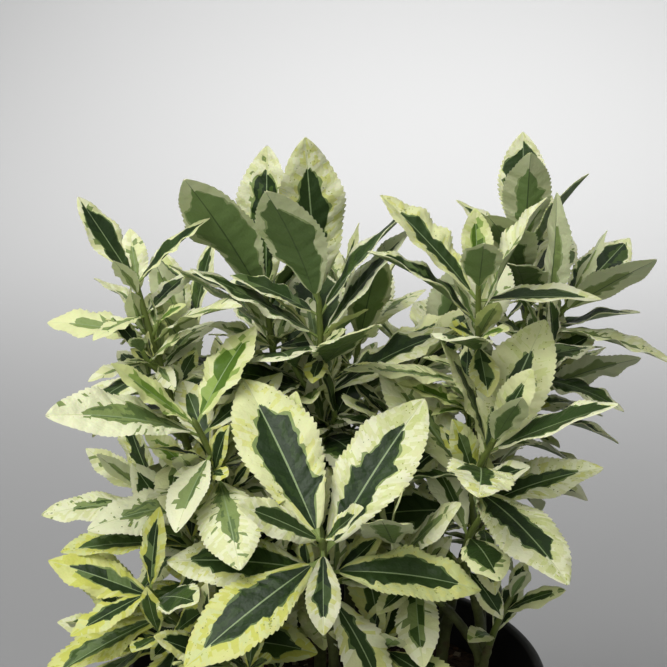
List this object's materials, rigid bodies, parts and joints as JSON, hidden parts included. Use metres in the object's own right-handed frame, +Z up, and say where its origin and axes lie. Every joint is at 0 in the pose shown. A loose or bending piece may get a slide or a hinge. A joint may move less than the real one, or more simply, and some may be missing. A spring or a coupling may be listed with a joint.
{
  "type": "japanese spindle",
  "caption": "Evergreen Japanese spindle shrub with cream-edged, toothed leaves in opposite pairs on upright green stems, in a round black nursery pot.",
  "frame": {"origin": "centre of the pot's flat underside, which stands on the ground", "axes": "+Z up, -Y towards the picture's camera, +X to its right"},
  "size_m": [0.278, 0.262, 0.3912],
  "materials": {
    "black_plastic": "semi-matte moulded black plastic",
    "potting_soil": "dark crumbly moist potting mix",
    "green_bark": "smooth olive green young bark",
    "variegated_leaf": "leathery, slightly glossy leaf, dark green with a cream edge"
  },
  "bodies": {
    "root": {"bough_back_low": "green_bark", "bough_back_low_left": "green_bark", "bough_back_low_right": "green_bark", "bough_back_right": "green_bark", "bough_bottom_centre": "green_bark", "bough_bottom_front": "green_bark", "bough_bottom_left": "green_bark", "bough_bottom_right": "green_bark", "bough_centre_back": "green_bark", "bough_centre_low": "green_bark", "bough_centre_low_right": "green_bark", "bough_centre_right": "green_bark", "bough_left_back_low": "green_bark", "bough_left_low": "green_bark", "bough_left_low_front": "green_bark", "bough_left_middle": "green_bark", "bough_right_back": "green_bark", "bough_right_far": "green_bark", "bough_right_low": "green_bark", "bough_right_middle": "green_bark", "foliage_back_left": "variegated_leaf", "foliage_back_low": "variegated_leaf", "foliage_back_low_left": "variegated_leaf", "foliage_back_low_right": "variegated_leaf", "foliage_back_middle": "variegated_leaf", "foliage_back_right": "variegated_leaf", "foliage_bottom_centre": "variegated_leaf", "foliage_bottom_front": "variegated_leaf", "foliage_bottom_left": "variegated_leaf", "foliage_bottom_right": "variegated_leaf", "foliage_centre_back": "variegated_leaf", "foliage_centre_low": "variegated_leaf", "foliage_centre_low_right": "variegated_leaf", "foliage_centre_right": "variegated_leaf", "foliage_crown_left": "variegated_leaf", "foliage_crown_middle": "variegated_leaf", "foliage_crown_right": "variegated_leaf", "foliage_front_low": "variegated_leaf", "foliage_left_back_low": "variegated_leaf", "foliage_left_low": "variegated_leaf", "foliage_left_low_front": "variegated_leaf", "foliage_left_middle": "variegated_leaf", "foliage_left_upper": "variegated_leaf", "foliage_right_back": "variegated_leaf", "foliage_right_far": "variegated_leaf", "foliage_right_low": "variegated_leaf", "foliage_right_middle": "variegated_leaf", "foliage_right_upper": "variegated_leaf", "pot": "black_plastic", "soil": "potting_soil", "stem_back_left": "green_bark", "stem_back_middle": "green_bark", "stem_crown_left": "green_bark", "stem_crown_middle": "green_bark", "stem_crown_right": "green_bark", "stem_front_low": "green_bark", "stem_left_upper": "green_bark", "stem_right_upper": "green_bark"}
  },
  "joints": []
}
